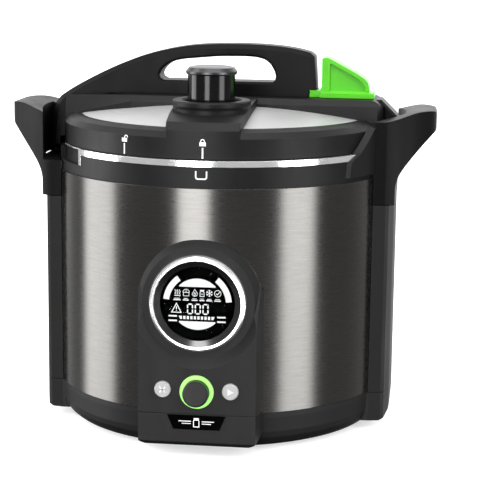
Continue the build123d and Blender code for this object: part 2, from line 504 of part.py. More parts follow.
# quick release: slide on the bridge, valve seat and plunger below it
sl = xz([(88.2, Z_BAR + 0.35), (88.2, 338.2), (99.0, 338.2), (100.2, 342.0), (100.2, 369.6), (101.6, 370.9), (106.2, 370.9), (107.8, 370.2),
         (121.3, 363.2), (134.5, 356.2), (143.6, 350.4), (146.8, 346.8), (148.2, 342.0), (148.6, 336.4), (153.6, 336.2), (153.6, Z_BAR + 0.35)], -15, 15)
skirt = box(99, 153.6, -20, 20, Z_BAR + 0.35, 336.0)
sl = sl + skirt
sl = sl - xz([(60, 330), (60, 384), (99.6, 384), (99.6, 330)], 9.0, 30) - xz([(60, 330), (60, 384), (99.6, 384), (99.6, 330)], -30, -22)
for s in (-1, 1):
    rc = xz([(108.4, 337.2), (108.4, 364.6), (111.0, 364.4), (121.0, 359.0), (133.6, 352.2), (141.2, 346.8), (144.6, 342.0), (144.8, 337.2)], -16, -11.5)
    sl = sl - (rc if s < 0 else mirror(rc, Plane.XZ))
sl = sl - box(80, 99.6, -30, -17.0, 325, 384)
stem = xz([(104, 312.7), (120, 318.7), (120, Z_BAR + 0.6), (104, Z_BAR + 0.6)], -3.4, 3.4)
sl = sl + stem
save("quick_release_switch", sl)
# notch for it in the handle's end
lid_handle = lid_handle - box(87.6, 100, -17, 9.4, Z_BAR - 0.2, 338.8)
save("lid_handle", lid_handle)

seat = cyl(8.0, 294.05, 297.0, X_VALVE, 0) + cyl(5.0, 283.0, 294.2, X_VALVE, 0) - cyl(3.3, 270, 310, X_VALVE, 0)
save("release_valve_seat", seat)
plg = Pos(X_VALVE, 0, 0) * rev([(0, 279.6), (6.2, 279.6), (6.2, 282.6), (3.0, 282.6), (3.0, 314.4), (0.8, 316.6), (0, 316.6)])
save("release_plunger", plg)
print("done")
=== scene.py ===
import bpy
import bmesh
import math
from mathutils import Matrix, Vector


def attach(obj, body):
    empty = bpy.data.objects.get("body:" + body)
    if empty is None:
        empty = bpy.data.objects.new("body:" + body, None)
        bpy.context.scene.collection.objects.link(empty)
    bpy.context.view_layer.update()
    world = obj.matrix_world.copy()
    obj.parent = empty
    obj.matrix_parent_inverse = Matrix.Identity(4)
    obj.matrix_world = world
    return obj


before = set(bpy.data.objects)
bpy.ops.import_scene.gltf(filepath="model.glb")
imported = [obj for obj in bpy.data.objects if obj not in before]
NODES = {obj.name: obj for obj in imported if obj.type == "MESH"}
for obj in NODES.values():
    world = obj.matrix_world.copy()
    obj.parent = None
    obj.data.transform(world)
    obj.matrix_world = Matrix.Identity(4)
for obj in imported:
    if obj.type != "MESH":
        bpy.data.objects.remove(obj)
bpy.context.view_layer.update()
MM = 0.001
scene = bpy.context.scene
scene.view_settings.view_transform = "Standard"
scene.view_settings.look = "None"
scene.view_settings.exposure = 0.0
scene.view_settings.gamma = 1.0

# ---------------------------------------------------------------- camera
cam_data = bpy.data.cameras.new("main_camera")
cam_data.sensor_width = 36.0
cam_data.lens = 115.745
cam_data.clip_start = 0.05
cam_data.clip_end = 60.0
cam = bpy.data.objects.new("main_camera", cam_data)
scene.collection.objects.link(cam)
RIGHT = (0.9931423, 0.1162593, 0.0123373)
UP = (-0.0341175, 0.1872701, 0.9817158)
FORWARD = (-0.1118231, 0.9754044, -0.1899523)
POS = (0.2155105, -1.6369647, 0.4873033)
cam.matrix_world = Matrix((
    (RIGHT[0], UP[0], -FORWARD[0], POS[0]),
    (RIGHT[1], UP[1], -FORWARD[1], POS[1]),
    (RIGHT[2], UP[2], -FORWARD[2], POS[2]),
    (0.0, 0.0, 0.0, 1.0),
))
scene.camera = cam


# ---------------------------------------------------------------- node helpers
class Tree:
    """A few words for building node trees."""

    def __init__(self, tree):
        self.t = tree
        self.n = tree.nodes
        self.l = tree.links

    def new(self, kind, **props):
        node = self.n.new(kind)
        for k, v in props.items():
            setattr(node, k, v)
        return node

    def put(self, value, socket):
        if isinstance(value, bpy.types.NodeSocket):
            self.l.new(value, socket)
        else:
            socket.default_value = value

    def math(self, op, a, b=None, c=None, clamp=False):
        m = self.new("ShaderNodeMath", operation=op, use_clamp=clamp)
        for i, v in enumerate((a, b, c)):
            if v is not None:
                self.put(v, m.inputs[i])
        return m.outputs[0]

    def vmath(self, op, a, b=None, out=0):
        m = self.new("ShaderNodeVectorMath", operation=op)
        self.put(a, m.inputs[0])
        if b is not None:
            self.put(b, m.inputs[1])
        return m.outputs[out]

    def xyz(self, v):
        s = self.new("ShaderNodeSeparateXYZ")
        self.put(v, s.inputs[0])
        return s.outputs[0], s.outputs[1], s.outputs[2]

    def join(self, x, y, z):
        c = self.new("ShaderNodeCombineXYZ")
        for i, v in enumerate((x, y, z)):
            self.put(v, c.inputs[i])
        return c.outputs[0]

    def noise(self, vec, scale, detail=2.0, rough=0.5, distort=0.0):
        n = self.new("ShaderNodeTexNoise")
        n.noise_dimensions = "3D"
        self.put(vec, n.inputs["Vector"])
        n.inputs["Scale"].default_value = scale
        n.inputs["Detail"].default_value = detail
        n.inputs["Roughness"].default_value = rough
        n.inputs["Distortion"].default_value = distort
        return n.outputs["Fac"]

    def voronoi(self, vec, scale, feature="F1"):
        n = self.new("ShaderNodeTexVoronoi", feature=feature)
        self.put(vec, n.inputs["Vector"])
        n.inputs["Scale"].default_value = scale
        return n.outputs["Distance"]

    def remap(self, v, a, b, lo, hi, smooth=False):
        m = self.new("ShaderNodeMapRange")
        m.interpolation_type = "SMOOTHSTEP" if smooth else "LINEAR"
        m.clamp = True
        self.put(v, m.inputs[0])
        for i, x in enumerate((a, b, lo, hi)):
            self.put(x, m.inputs[i + 1])
        return m.outputs[0]

    def mix(self, fac, a, b, mode="MIX"):
        m = self.new("ShaderNodeMix", data_type="RGBA", blend_type=mode)
        self.put(fac, m.inputs[0])
        self.put(a, m.inputs[6])
        self.put(b, m.inputs[7])
        return m.outputs[2]

    def bump(self, height, strength, distance, normal=None):
        b = self.new("ShaderNodeBump")
        b.inputs["Strength"].default_value = strength
        b.inputs["Distance"].default_value = distance
        self.put(height, b.inputs["Height"])
        if normal is not None:
            self.put(normal, b.inputs["Normal"])
        return b.outputs[0]


def rgb(r, g, b):
    """sRGB 0-255 to a linear colour."""
    def f(c):
        c = c / 255.0
        return c / 12.92 if c <= 0.04045 else ((c + 0.055) / 1.055) ** 2.4
    return (f(r), f(g), f(b), 1.0)


def grey(v):
    return (v, v, v, 1.0)


def base_material(name, color, rough, metallic=0.0, spec=0.5, coat=0.0, coat_rough=0.08, aniso=0.0, aniso_rot=0.0, ior=1.5):
    m = bpy.data.materials.new(name)
    m.use_nodes = True
    t = Tree(m.node_tree)
    for n in list(t.n):
        t.n.remove(n)
    out = t.new("ShaderNodeOutputMaterial")
    b = t.new("ShaderNodeBsdfPrincipled")
    t.l.new(b.outputs[0], out.inputs[0])
    b.inputs["Base Color"].default_value = color
    b.inputs["Roughness"].default_value = rough
    b.inputs["Metallic"].default_value = metallic
    b.inputs["Specular IOR Level"].default_value = spec
    b.inputs["Coat Weight"].default_value = coat
    b.inputs["Coat Roughness"].default_value = coat_rough
    b.inputs["Anisotropic"].default_value = aniso
    b.inputs["Anisotropic Rotation"].default_value = aniso_rot
    b.inputs["IOR"].default_value = ior
    m.diffuse_color = color
    obj = t.new("ShaderNodeTexCoord").outputs["Object"]
    return m, t, b, obj


def rounded_edges(t, radius, samples=4):
    """A normal that runs round the sharp edges, and a mask that is 1 along them."""
    bev = t.new("ShaderNodeBevel", samples=samples)
    bev.inputs["Radius"].default_value = radius
    geo = t.new("ShaderNodeNewGeometry")
    d = t.vmath("DOT_PRODUCT", bev.outputs[0], geo.outputs["Normal"], out=1)
    edge = t.remap(d, 0.995, 0.86, 0.0, 1.0, smooth=True)
    return bev.outputs[0], edge


def plastic(name, color, rough=0.42, edge_lift=1.5, grain=0.25, radius=0.0009, coat=0.0, spec=0.5, edge=True, cell=2600.0):
    """Moulded plastic with a spark-eroded grain, faint mould shading, and edges slightly polished and painted lighter:
    partly wear, partly a painted highlight.
    """
    m, t, b, obj = base_material(name, color, rough, spec=spec, coat=coat)
    fine = t.noise(obj, cell, 2.0, 0.6)
    cells = t.voronoi(obj, cell * 0.55)
    broad = t.noise(obj, 14.0, 3.0, 0.55)
    smear = t.noise(t.vmath("MULTIPLY", obj, (1.0, 1.0, 0.25)), 55.0, 3.0, 0.6)
    shade = t.remap(broad, 0.3, 0.7, 0.9, 1.1)
    dark = tuple(c * 0.86 for c in color[:3]) + (1.0,)
    light = tuple(min(1.0, c * 1.14) for c in color[:3]) + (1.0,)
    body = t.mix(t.remap(fine, 0.3, 0.7, 0.0, 1.0), dark, light)
    body = t.mix(1.0, body, t.join(shade, shade, shade), "MULTIPLY")
    r = t.math("ADD", t.remap(fine, 0.3, 0.7, rough - 0.05, rough + 0.05), t.remap(smear, 0.35, 0.65, -0.035, 0.035))
    height = t.math("ADD", t.math("MULTIPLY", fine, 0.6), t.math("MULTIPLY", cells, 0.4))
    if edge:
        nrm, mask = rounded_edges(t, radius)
        # edge colour lifted along the rounded edges: partly wear, partly a painted highlight
        worn_and_highlit = tuple(min(1.0, c * edge_lift + 0.004) for c in color[:3]) + (1.0,)
        body = t.mix(t.math("MULTIPLY", mask, 0.6), body, worn_and_highlit)
        r = t.math("SUBTRACT", r, t.math("MULTIPLY", mask, 0.08))
        t.put(t.bump(height, grain, 0.00006, nrm), b.inputs["Normal"])
    else:
        t.put(t.bump(height, grain, 0.00006), b.inputs["Normal"])
    t.put(body, b.inputs["Base Color"])
    t.put(r, b.inputs["Roughness"])
    return m


def brushed(name, color, rough, lines=2600.0, around=22.0, aniso=0.7, rot=0.25, contrast=0.12, bump=0.18, radius=0.0006, edge=True):
    """Metal brushed round the vertical axis: long fine scratches along the circumference."""
    m, t, b, obj = base_material(name, color, rough, metallic=1.0, aniso=aniso, aniso_rot=rot)
    x, y, z = t.xyz(obj)
    az = t.math("ARCTAN2", x, t.math("MULTIPLY", y, -1.0))
    fine = t.noise(t.join(t.math("MULTIPLY", az, around), t.math("MULTIPLY", z, lines), 0.0), 1.0, 3.0, 0.65)
    coarse = t.noise(t.join(t.math("MULTIPLY", az, around * 0.35), t.math("MULTIPLY", z, lines * 0.22), 4.0), 1.0, 2.0, 0.6)
    broad = t.noise(obj, 7.0, 2.0, 0.5)
    k = t.math("ADD", t.remap(fine, 0.3, 0.7, 1.0 - contrast, 1.0 + contrast), t.remap(coarse, 0.3, 0.7, -contrast * 0.6, contrast * 0.6))
    k = t.math("MULTIPLY", k, t.remap(broad, 0.3, 0.7, 0.96, 1.04))
    t.put(t.mix(1.0, color, t.join(k, k, k), "MULTIPLY"), b.inputs["Base Color"])
    t.put(t.math("ADD", t.remap(fine, 0.3, 0.7, rough - 0.05, rough + 0.05), t.remap(broad, 0.3, 0.7, -0.02, 0.02)), b.inputs["Roughness"])
    if edge:
        nrm, _ = rounded_edges(t, radius)
        t.put(t.bump(fine, bump, 0.00004, nrm), b.inputs["Normal"])
    else:
        t.put(t.bump(fine, bump, 0.00004), b.inputs["Normal"])
    tan = t.new("ShaderNodeTangent", direction_type="RADIAL", axis="Z")
    t.put(tan.outputs[0], b.inputs["Tangent"])
    return m


def spun(name, color, rough, axis="Z", rings=2400.0, contrast=0.08, bump=0.12, aniso=0.0, rot=0.0, centre=(0.0, 0.0, 0.0), edge=False, radius=0.0005, broad_amount=0.04):
    """Metal turned on a lathe about an axis through centre: fine rings round it."""
    m, t, b, obj = base_material(name, color, rough, metallic=1.0, aniso=aniso, aniso_rot=rot)
    p = t.vmath("SUBTRACT", obj, centre)
    x, y, z = t.xyz(p)
    u, v, w = {"Z": (x, y, z), "Y": (x, z, y), "X": (y, z, x)}[axis]
    r = t.math("SQRT", t.math("ADD", t.math("MULTIPLY", u, u), t.math("MULTIPLY", v, v)))
    a = t.math("ARCTAN2", u, v)
    fine = t.noise(t.join(t.math("MULTIPLY", r, rings), t.math("MULTIPLY", a, 5.0), t.math("MULTIPLY", w, rings)), 1.0, 3.0, 0.6)
    broad = t.noise(obj, 18.0, 3.0, 0.5)
    k = t.math("MULTIPLY", t.remap(fine, 0.3, 0.7, 1.0 - contrast, 1.0 + contrast), t.remap(broad, 0.3, 0.7, 1.0 - broad_amount, 1.0 + broad_amount))
    t.put(t.mix(1.0, color, t.join(k, k, k), "MULTIPLY"), b.inputs["Base Color"])
    t.put(t.remap(fine, 0.3, 0.7, rough - 0.05, rough + 0.06), b.inputs["Roughness"])
    if edge:
        nrm, _ = rounded_edges(t, radius)
        t.put(t.bump(fine, bump, 0.00003, nrm), b.inputs["Normal"])
    else:
        t.put(t.bump(fine, bump, 0.00003), b.inputs["Normal"])
    return m


def metal(name, color, rough, grain=900.0, contrast=0.06, bump=0.15, edge=False, radius=0.0005):
    """Plain cast, drawn or plated metal with a fine random grain."""
    m, t, b, obj = base_material(name, color, rough, metallic=1.0)
    fine = t.noise(obj, grain, 3.0, 0.6)
    broad = t.noise(obj, 30.0, 3.0, 0.55)
    k = t.math("MULTIPLY", t.remap(fine, 0.3, 0.7, 1.0 - contrast, 1.0 + contrast), t.remap(broad, 0.3, 0.7, 0.93, 1.05))
    t.put(t.mix(1.0, color, t.join(k, k, k), "MULTIPLY"), b.inputs["Base Color"])
    t.put(t.math("ADD", t.remap(fine, 0.3, 0.7, rough - 0.04, rough + 0.05), t.remap(broad, 0.3, 0.7, -0.03, 0.04)), b.inputs["Roughness"])
    if edge:
        nrm, _ = rounded_edges(t, radius)
        t.put(t.bump(fine, bump, 0.00003, nrm), b.inputs["Normal"])
    else:
        t.put(t.bump(fine, bump, 0.00003), b.inputs["Normal"])
    return m


def chrome(name, color=(0.86, 0.86, 0.87, 1.0), rough=0.09, radius=0.0005, metallic=1.0):
    """Bright plated trim with faint polishing haze."""
    m, t, b, obj = base_material(name, color, rough, metallic=metallic)
    haze = t.noise(obj, 120.0, 4.0, 0.6)
    fine = t.noise(obj, 1500.0, 2.0, 0.5)
    k = t.remap(haze, 0.3, 0.7, 0.95, 1.03)
    t.put(t.mix(1.0, color, t.join(k, k, k), "MULTIPLY"), b.inputs["Base Color"])
    t.put(t.remap(haze, 0.3, 0.7, rough - 0.03, rough + 0.05), b.inputs["Roughness"])
    nrm, _ = rounded_edges(t, radius)
    t.put(t.bump(fine, 0.04, 0.00002, nrm), b.inputs["Normal"])
    return m


def gloss(name, color, rough=0.1, coat=0.6, radius=0.0006, edge=True, spec=0.5):
    """Glossy moulded part with a faint orange peel."""
    m, t, b, obj = base_material(name, color, rough, coat=coat, coat_rough=0.05, spec=spec)
    peel = t.noise(obj, 260.0, 2.0, 0.5)
    dust = t.noise(obj, 1800.0, 3.0, 0.7)
    k = t.remap(dust, 0.35, 0.75, 0.9, 1.2)
    t.put(t.mix(1.0, color, t.join(k, k, k), "MULTIPLY"), b.inputs["Base Color"])
    t.put(t.math("ADD", t.remap(peel, 0.3, 0.7, rough - 0.02, rough + 0.03), t.remap(dust, 0.6, 0.8, 0.0, 0.08)), b.inputs["Roughness"])
    if edge:
        nrm, _ = rounded_edges(t, radius)
        t.put(t.bump(peel, 0.05, 0.0001, nrm), b.inputs["Normal"])
    else:
        t.put(t.bump(peel, 0.05, 0.0001), b.inputs["Normal"])
    return m


# ---------------------------------------------------------------- materials
MAT = {}
MAT["charcoal_plastic"] = plastic("charcoal_plastic", grey(0.0105), rough=0.50, edge_lift=1.9, spec=0.11)
MAT["zinc_steel"] = metal("zinc_steel", (0.62, 0.62, 0.60, 1.0), 0.32, grain=1100.0)
MAT["black_stainless"] = brushed("black_stainless", (0.088, 0.0855, 0.082, 1.0), 0.28, aniso=0.9)
MAT["bright_trim"] = chrome("bright_trim", metallic=0.86)
MAT["aluminium"] = metal("aluminium", (0.76, 0.77, 0.78, 1.0), 0.38, grain=700.0)
MAT["black_gloss"] = gloss("black_gloss", grey(0.0025), 0.12, coat=0.0, spec=0.22)
MAT["brass"] = metal("brass", (0.72, 0.52, 0.22, 1.0), 0.28)
MAT["pot_aluminium"] = spun("pot_aluminium", (0.74, 0.75, 0.76, 1.0), 0.36, contrast=0.07)
MAT["satin_steel"] = spun("satin_steel", (0.72, 0.72, 0.72, 1.0), 0.40, contrast=0.07, broad_amount=0.03)
MAT["dark_metal"] = spun("dark_metal", (0.050, 0.050, 0.052, 1.0), 0.34, centre=(0.0, -0.1, 0.0), contrast=0.10, edge=True)
MAT["grey_plastic"] = plastic("grey_plastic", grey(0.25), rough=0.36, edge_lift=1.15, grain=0.2, radius=0.0006)


def green_plastic():
    color = rgb(62, 158, 4)
    m, t, b, obj = base_material("green_plastic", color, 0.40, spec=0.2)
    fine = t.noise(obj, 2300.0, 2.0, 0.6)
    broad = t.noise(obj, 40.0, 3.0, 0.5)
    nrm, mask = rounded_edges(t, 0.0011)
    body = t.mix(t.remap(fine, 0.3, 0.7, 0.0, 1.0), rgb(56, 150, 3), rgb(68, 166, 5))
    k = t.remap(broad, 0.3, 0.7, 0.93, 1.05)
    body = t.mix(1.0, body, t.join(k, k, k), "MULTIPLY")
    # edges painted a lighter green: a painted highlight
    body = t.mix(t.math("MULTIPLY", mask, 0.6), body, rgb(110, 214, 20))
    t.put(body, b.inputs["Base Color"])
    t.put(t.remap(fine, 0.3, 0.7, 0.28, 0.38), b.inputs["Roughness"])
    t.put(t.bump(fine, 0.16, 0.00005, nrm), b.inputs["Normal"])
    b.inputs["Subsurface Weight"].default_value = 0.12
    b.inputs["Subsurface Radius"].default_value = (0.4, 1.0, 0.2)
    b.inputs["Subsurface Scale"].default_value = 0.002
    return m


def rubber():
    m, t, b, obj = base_material("rubber", grey(0.02), 0.7, spec=0.3)
    fine = t.noise(obj, 1500.0, 4.0, 0.7)
    broad = t.noise(obj, 60.0, 3.0, 0.6)
    t.put(t.mix(t.remap(broad, 0.3, 0.7, 0.0, 1.0), grey(0.015), grey(0.032)), b.inputs["Base Color"])
    t.put(t.remap(fine, 0.3, 0.7, 0.62, 0.8), b.inputs["Roughness"])
    t.put(t.bump(fine, 0.3, 0.00008), b.inputs["Normal"])
    return m


def silicone():
    m, t, b, obj = base_material("silicone", (0.36, 0.37, 0.37, 1.0), 0.5, spec=0.4)
    fine = t.noise(obj, 900.0, 3.0, 0.6)
    broad = t.noise(obj, 50.0, 3.0, 0.6)
    t.put(t.mix(t.remap(broad, 0.3, 0.7, 0.0, 1.0), (0.31, 0.32, 0.32, 1), (0.40, 0.41, 0.41, 1)), b.inputs["Base Color"])
    t.put(t.remap(fine, 0.3, 0.7, 0.42, 0.56), b.inputs["Roughness"])
    t.put(t.bump(fine, 0.2, 0.00006), b.inputs["Normal"])
    b.inputs["Subsurface Weight"].default_value = 0.2
    b.inputs["Subsurface Scale"].default_value = 0.002
    return m


def display_glass():
    m, t, b, obj = base_material("display_glass", (0.97, 0.98, 0.98, 1.0), 0.0, ior=1.015)
    b.inputs["Transmission Weight"].default_value = 1.0
    haze = t.noise(obj, 160.0, 3.0, 0.6)
    fine = t.noise(obj, 900.0, 2.0, 0.5)
    t.put(t.mix(t.remap(haze, 0.3, 0.7, 0.0, 1.0), (0.93, 0.94, 0.94, 1), (0.99, 1.0, 1.0, 1)), b.inputs["Base Color"])
    t.put(t.remap(haze, 0.4, 0.8, 0.0, 0.003), b.inputs["Roughness"])
    t.put(t.bump(fine, 0.003, 0.00001), b.inputs["Normal"])
    return m


def lcd_black():
    m, t, b, obj = base_material("lcd_black", grey(0.001), 0.6, spec=0.0)
    fine = t.noise(obj, 2400.0, 2.0, 0.5)
    t.put(t.mix(t.remap(fine, 0.3, 0.7, 0.0, 1.0), grey(0.0006), grey(0.0016)), b.inputs["Base Color"])
    t.put(t.remap(fine, 0.3, 0.7, 0.55, 0.65), b.inputs["Roughness"])
    t.put(t.bump(fine, 0.04, 0.00002), b.inputs["Normal"])
    return m


def glowing(name, color, strength, cells=2200.0, rough=0.4, low=0.88, unlit=0.1):
    m, t, b, obj = base_material(name, color, rough, spec=0.05)
    fine = t.noise(obj, cells, 2.0, 0.5)
    k = t.remap(fine, 0.3, 0.7, low, 1.0)
    c = t.mix(1.0, color, t.join(k, k, k), "MULTIPLY")
    t.put(t.mix(1.0, c, grey(unlit), "MULTIPLY"), b.inputs["Base Color"])
    t.put(c, b.inputs["Emission Color"])
    b.inputs["Emission Strength"].default_value = strength
    t.put(t.remap(fine, 0.3, 0.7, rough - 0.05, rough + 0.05), b.inputs["Roughness"])
    t.put(t.bump(fine, 0.05, 0.00002), b.inputs["Normal"])
    return m


def light_ring():
    """Translucent ring round the selector, glowing evenly all round and brightest along the middle of its width; its
    lamp sits at the top left.
    """
    m, t, b, obj = base_material("green_light", rgb(150, 235, 110), 0.35)
    x, y, z = t.xyz(t.vmath("SUBTRACT", obj, (0.0, 0.0, 0.0662)))
    r = t.math("SQRT", t.math("ADD", t.math("MULTIPLY", x, x), t.math("MULTIPLY", z, z)))
    mid = t.remap(t.math("ABSOLUTE", t.math("SUBTRACT", r, 0.01405)), 0.0005, 0.0021, 1.0, 0.72, smooth=True)
    fine = t.noise(obj, 1200.0, 2.0, 0.5)
    k = t.math("MULTIPLY", mid, t.remap(fine, 0.3, 0.7, 0.95, 1.05))
    c = t.mix(1.0, rgb(150, 236, 108), t.join(k, k, k), "MULTIPLY")
    t.put(c, b.inputs["Base Color"])
    t.put(c, b.inputs["Emission Color"])
    b.inputs["Emission Strength"].default_value = 0.34
    t.put(t.remap(fine, 0.3, 0.7, 0.3, 0.42), b.inputs["Roughness"])
    t.put(t.bump(fine, 0.06, 0.00003), b.inputs["Normal"])
    return m


def board():
    m, t, b, obj = base_material("circuit_board", (0.01, 0.11, 0.045, 1.0), 0.35, coat=0.3)
    x, y, z = t.xyz(obj)
    s = t.math("ADD", t.math("ADD", t.math("SNAP", x, 0.0026), t.math("SNAP", y, 0.0026)), t.math("SNAP", z, 0.0026))
    tracks = t.noise(t.join(t.math("MULTIPLY", s, 900.0), t.math("MULTIPLY", x, 260.0), t.math("MULTIPLY", z, 260.0)), 1.0, 2.0, 0.6)
    weave = t.noise(obj, 1800.0, 2.0, 0.6)
    body = t.mix(t.remap(tracks, 0.52, 0.56, 0.0, 1.0), (0.008, 0.075, 0.03, 1), (0.02, 0.17, 0.07, 1))
    k = t.remap(weave, 0.3, 0.7, 0.9, 1.1)
    t.put(t.mix(1.0, body, t.join(k, k, k), "MULTIPLY"), b.inputs["Base Color"])
    t.put(t.remap(weave, 0.3, 0.7, 0.28, 0.42), b.inputs["Roughness"])
    t.put(t.bump(t.remap(tracks, 0.52, 0.56, 0.0, 1.0), 0.3, 0.00005), b.inputs["Normal"])
    return m


def print_ink(name, color, rough=0.5):
    """Pad-printed ink: flat but not quite even."""
    m, t, b, obj = base_material(name, color, rough, spec=0.4)
    fine = t.noise(obj, 3500.0, 3.0, 0.6)
    k = t.remap(fine, 0.3, 0.75, 0.88, 1.0)
    t.put(t.mix(1.0, color, t.join(k, k, k), "MULTIPLY"), b.inputs["Base Color"])
    t.put(t.remap(fine, 0.3, 0.7, rough - 0.06, rough + 0.08), b.inputs["Roughness"])
    t.put(t.bump(fine, 0.12, 0.00003), b.inputs["Normal"])
    return m


MAT["green_plastic"] = green_plastic()
MAT["rubber"] = rubber()
MAT["silicone"] = silicone()
MAT["display_glass"] = display_glass()
MAT["green_light"] = light_ring()
MAT["circuit_board"] = board()
LCD_BLACK = lcd_black()
LCD_WHITE = glowing("lcd_white", (0.95, 0.96, 0.96, 1.0), 0.95, rough=0.5, low=0.94)
WHITE_INK = print_ink("white_ink", grey(0.88))
BUTTON_INK = print_ink("button_ink", grey(0.52), 0.4)
DOME = spun("dome_steel", (0.455, 0.455, 0.455, 1.0), 0.56, contrast=0.05, broad_amount=0.02)
LID_PLASTIC = plastic("lid_plastic", grey(0.0044), rough=0.46, edge_lift=1.9, spec=0.14)
HANDLE_PLASTIC = plastic("handle_plastic", grey(0.0022), rough=0.46, edge_lift=1.9, radius=0.0012, spec=0.07)
KNOB_PLASTIC = plastic("knob_plastic", (0.0052, 0.0046, 0.0046, 1.0), rough=0.42, spec=0.18, edge_lift=1.8, radius=0.0007)

def bezel_metal():
    """Rolled bright rim round a chrome cone painted dark, a painted dark reflection, turned about the display's axis.
    """
    m, t, b, obj = base_material("bezel_rim", (0.9, 0.9, 0.9, 1.0), 0.16, metallic=0.9)
    x, y, z = t.xyz(t.vmath("SUBTRACT", obj, (0.0, 0.0, 0.1511)))
    r = t.math("SQRT", t.math("ADD", t.math("MULTIPLY", x, x), t.math("MULTIPLY", z, z)))
    a = t.math("ARCTAN2", x, z)
    rings = t.noise(t.join(t.math("MULTIPLY", r, 1500.0), t.math("MULTIPLY", a, 4.0), 0.0), 1.0, 3.0, 0.6)
    rim = t.remap(r, 0.0408, 0.0420, 0.0, 1.0, smooth=True)
    # the cone's chrome is painted dark grey: a painted reflection
    cone_painted_dark = t.mix(t.remap(rings, 0.3, 0.7, 0.0, 1.0), grey(0.045), grey(0.075))
    bright = t.mix(t.remap(rings, 0.3, 0.7, 0.0, 1.0), grey(0.84), grey(0.93))
    t.put(t.mix(rim, cone_painted_dark, bright), b.inputs["Base Color"])
    t.put(t.remap(rings, 0.3, 0.7, 0.13, 0.21), b.inputs["Roughness"])
    t.put(t.bump(rings, 0.04, 0.00003), b.inputs["Normal"])
    return m


BEZEL = bezel_metal()

PLATE = plastic("plate_black", grey(0.0012), rough=0.55, edge_lift=1.2, spec=0.0, radius=0.0002)

SPECIAL = {
    "badge_plate": PLATE,
    "lid_dome": DOME,
    "lcd_module": LCD_BLACK,
    "lid_handle": HANDLE_PLASTIC,
    "lid_cover": LID_PLASTIC,
    "upper_collar": LID_PLASTIC,
    "left_handle": HANDLE_PLASTIC,
    "right_handle": HANDLE_PLASTIC,
    "selector_knob": KNOB_PLASTIC,
    "display_bezel": BEZEL,
}
for name, node in NODES.items():
    for s in node.material_slots:
        slot_name = s.material.name.split(".")[0] if s.material else "charcoal_plastic"
        s.material = SPECIAL.get(name) or MAT.get(slot_name, MAT["charcoal_plastic"])


# ---------------------------------------------------------------- mesh helpers
def link(obj):
    scene.collection.objects.link(obj)
    return obj


def mesh_object(name, verts, faces, material, body, slot=None, smooth=False):
    me = bpy.data.meshes.new(name)
    me.from_pydata([tuple(v) for v in verts], [], faces)
    bm = bmesh.new()
    bm.from_mesh(me)
    bmesh.ops.remove_doubles(bm, verts=bm.verts, dist=1e-7)
    bmesh.ops.recalc_face_normals(bm, faces=bm.faces)
    bm.to_mesh(me)
    bm.free()
    if smooth:
        for p in me.polygons:
            p.use_smooth = True
    me.materials.append(material)
    obj = link(bpy.data.objects.new(name, me))
    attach(obj, body)
    return obj


def arc(cx, cy, r, a0, a1, n):
    """Points on an arc, angles in degrees anticlockwise from +x."""
    return [(cx + r * math.cos(math.radians(a0 + (a1 - a0) * i / n)), cy + r * math.sin(math.radians(a0 + (a1 - a0) * i / n))) for i in range(n + 1)]


def stroke(points, w, closed=False):
    """Outline quads of a line of width w with mitred corners; a list of 2-D quads."""
    pts = [Vector((p[0], p[1])) for p in points]
    n = len(pts)
    sides = []
    for i in range(n):
        if closed:
            a, b, c = pts[i - 1], pts[i], pts[(i + 1) % n]
        else:
            a, b, c = pts[max(i - 1, 0)], pts[i], pts[min(i + 1, n - 1)]
        d1 = (b - a).normalized() if (b - a).length > 1e-9 else (c - b).normalized()
        d2 = (c - b).normalized() if (c - b).length > 1e-9 else d1
        n1, n2 = Vector((-d1.y, d1.x)), Vector((-d2.y, d2.x))
        m = n1 + n2
        m = m.normalized() if m.length > 1e-6 else n1
        k = min(1.0 / max(m.dot(n1), 0.35), 2.4)
        sides.append((b + m * (w / 2 * k), b - m * (w / 2 * k)))
    quads = []
    for i in range(n if closed else n - 1):
        p, q = sides[i], sides[(i + 1) % n]
        quads.append([p[0], q[0], q[1], p[1]])
    return quads


def circle(cx, cy, r, n=24):
    return arc(cx, cy, r, 0, 360, n)[:-1]


def ring_sector(r0, r1, a0, a1, n=14, round_ends=0.0):
    outer = arc(0, 0, r1, a0, a1, n)
    inner = arc(0, 0, r0, a1, a0, n)
    quads = []
    for i in range(n):
        quads.append([outer[i], outer[i + 1], inner[n - i - 1], inner[n - i]])
    return quads


def flat_piece(name, polys, y, depth, material, body, cx=0.0, cz=0.0, face=-1, frame_map=None):
    """Polygons given in the plane of the panel, in millimetres from (cx, cz), raised by depth towards the front."""
    verts, faces = [], []
    put = frame_map or (lambda u, v, h: (cx * MM + u * MM, (y + face * h) * MM, cz * MM + v * MM))
    for poly in polys:
        k = len(verts)
        n = len(poly)
        for p in poly:
            verts.append(put(p[0], p[1], depth))
        for p in poly:
            verts.append(put(p[0], p[1], 0.0))
        faces.append(list(range(k, k + n)))
        faces.append(list(range(k + 2 * n - 1, k + n - 1, -1)))
        for i in range(n):
            j = (i + 1) % n
            faces.append([k + i, k + n + i, k + n + j, k + j])
    me = bpy.data.meshes.new(name)
    me.from_pydata(verts, [], faces)
    bm = bmesh.new()
    bm.from_mesh(me)
    bmesh.ops.recalc_face_normals(bm, faces=bm.faces)
    bm.to_mesh(me)
    bm.free()
    me.materials.append(material)
    obj = link(bpy.data.objects.new(name, me))
    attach(obj, body)
    return obj


def wrap(radius, az0):
    """Puts (u across, v up, h out), millimetres, on a vertical cylinder about the body axis; az0 in degrees from the front."""
    def put(u, v, h):
        a = math.radians(az0) + u / radius
        r = radius + h
        return (r * math.sin(a) * MM, -r * math.cos(a) * MM, v * MM)
    return put


# ---------------------------------------------------------------- printed marks
R_LID = 163.2
R_COLLAR = 168.0


